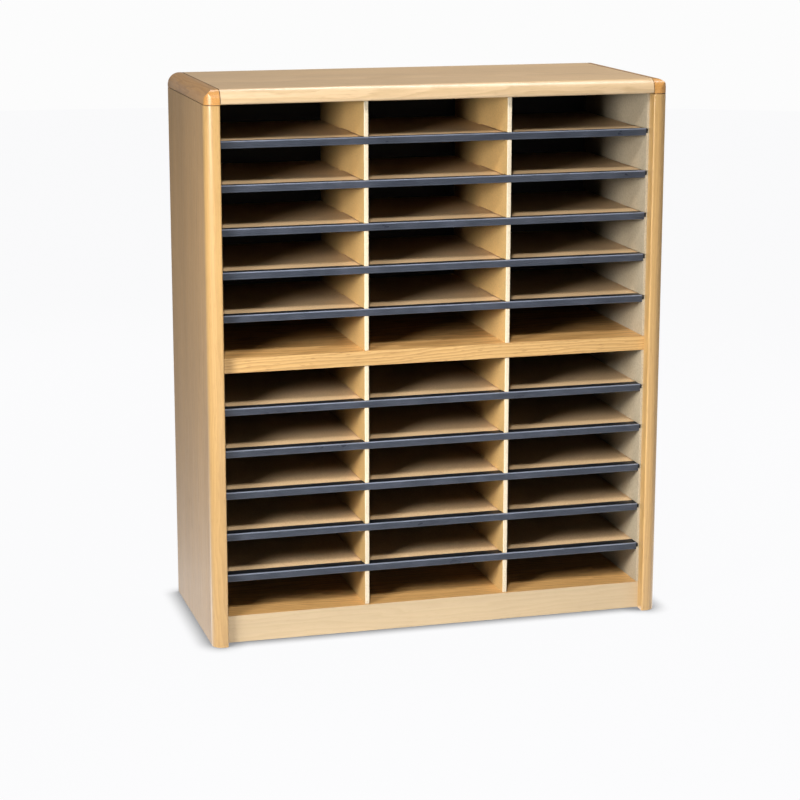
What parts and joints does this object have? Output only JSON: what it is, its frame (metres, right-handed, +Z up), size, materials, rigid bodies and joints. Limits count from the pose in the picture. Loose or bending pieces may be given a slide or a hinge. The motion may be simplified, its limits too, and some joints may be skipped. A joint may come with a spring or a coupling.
{
  "type": "file organizer",
  "caption": "Free-standing wood sorter case with two banks of paper compartments in three columns, removable slotted shelves with plastic label mouldings, and rounded hardwood edges.",
  "frame": {"origin": "on the floor under the centre of the case", "axes": "+Z up, +X to the right, front towards -Y"},
  "size_m": [0.8192, 0.343, 0.9652],
  "materials": {
    "oak_laminate": "wood-grain laminate, satin",
    "oak_hardwood": "lacquered solid wood",
    "edge_laminate": "pale wood-grain laminate, satin",
    "liner_board": "painted fibreboard, matte",
    "divider_board": "fibreboard, matte",
    "shelf_board": "hardboard, matte",
    "label_plastic": "extruded, blue-black",
    "back_board": "dark hardboard, matte",
    "zinc": "die-cast zinc"
  },
  "bodies": {
    "root": {"side_panel_left": "oak_laminate", "post_left": "oak_hardwood", "corner_moulding_left": "oak_hardwood", "side_panel_right": "oak_laminate", "post_right": "oak_hardwood", "corner_moulding_right": "oak_hardwood", "top_panel": "oak_laminate", "middle_shelf": "oak_laminate", "bottom_shelf": "oak_laminate", "kick_plate": "edge_laminate", "back_panel": "back_board", "liner_upper_left": "liner_board", "liner_upper_right": "liner_board", "divider_upper_1": "divider_board", "divider_upper_2": "divider_board", "liner_lower_left": "liner_board", "liner_lower_right": "liner_board", "divider_lower_1": "divider_board", "divider_lower_2": "divider_board", "cam_middle_left_front": "zinc", "cam_bolt_middle_left_front": "zinc", "cam_middle_left_back": "zinc", "cam_bolt_middle_left_back": "zinc", "cam_middle_right_front": "zinc", "cam_bolt_middle_right_front": "zinc", "cam_middle_right_back": "zinc", "cam_bolt_middle_right_back": "zinc", "cam_base_left_front": "zinc", "cam_bolt_base_left_front": "zinc", "cam_base_left_back": "zinc", "cam_bolt_base_left_back": "zinc", "cam_base_right_front": "zinc", "cam_bolt_base_right_front": "zinc", "cam_base_right_back": "zinc", "cam_bolt_base_right_back": "zinc"},
    "shelf_upper_1": {"shelf_board_upper_1": "shelf_board", "label_moulding_upper_1": "label_plastic"},
    "shelf_upper_2": {"shelf_board_upper_2": "shelf_board", "label_moulding_upper_2": "label_plastic"},
    "shelf_upper_3": {"shelf_board_upper_3": "shelf_board", "label_moulding_upper_3": "label_plastic"},
    "shelf_upper_4": {"shelf_board_upper_4": "shelf_board", "label_moulding_upper_4": "label_plastic"},
    "shelf_upper_5": {"shelf_board_upper_5": "shelf_board", "label_moulding_upper_5": "label_plastic"},
    "shelf_lower_1": {"shelf_board_lower_1": "shelf_board", "label_moulding_lower_1": "label_plastic"},
    "shelf_lower_2": {"shelf_board_lower_2": "shelf_board", "label_moulding_lower_2": "label_plastic"},
    "shelf_lower_3": {"shelf_board_lower_3": "shelf_board", "label_moulding_lower_3": "label_plastic"},
    "shelf_lower_4": {"shelf_board_lower_4": "shelf_board", "label_moulding_lower_4": "label_plastic"},
    "shelf_lower_5": {"shelf_board_lower_5": "shelf_board", "label_moulding_lower_5": "label_plastic"}
  },
  "joints": [
    {"name": "shelf_upper_1_slide", "type": "slide", "parent": "root", "child": "shelf_upper_1", "axis": [0, -1, 0], "range_m": [0, 0.34]},
    {"name": "shelf_upper_2_slide", "type": "slide", "parent": "root", "child": "shelf_upper_2", "axis": [0, -1, 0], "range_m": [0, 0.34]},
    {"name": "shelf_upper_3_slide", "type": "slide", "parent": "root", "child": "shelf_upper_3", "axis": [0, -1, 0], "range_m": [0, 0.34]},
    {"name": "shelf_upper_4_slide", "type": "slide", "parent": "root", "child": "shelf_upper_4", "axis": [0, -1, 0], "range_m": [0, 0.34]},
    {"name": "shelf_upper_5_slide", "type": "slide", "parent": "root", "child": "shelf_upper_5", "axis": [0, -1, 0], "range_m": [0, 0.34]},
    {"name": "shelf_lower_1_slide", "type": "slide", "parent": "root", "child": "shelf_lower_1", "axis": [0, -1, 0], "range_m": [0, 0.34]},
    {"name": "shelf_lower_2_slide", "type": "slide", "parent": "root", "child": "shelf_lower_2", "axis": [0, -1, 0], "range_m": [0, 0.34]},
    {"name": "shelf_lower_3_slide", "type": "slide", "parent": "root", "child": "shelf_lower_3", "axis": [0, -1, 0], "range_m": [0, 0.34]},
    {"name": "shelf_lower_4_slide", "type": "slide", "parent": "root", "child": "shelf_lower_4", "axis": [0, -1, 0], "range_m": [0, 0.34]},
    {"name": "shelf_lower_5_slide", "type": "slide", "parent": "root", "child": "shelf_lower_5", "axis": [0, -1, 0], "range_m": [0, 0.34]}
  ]
}
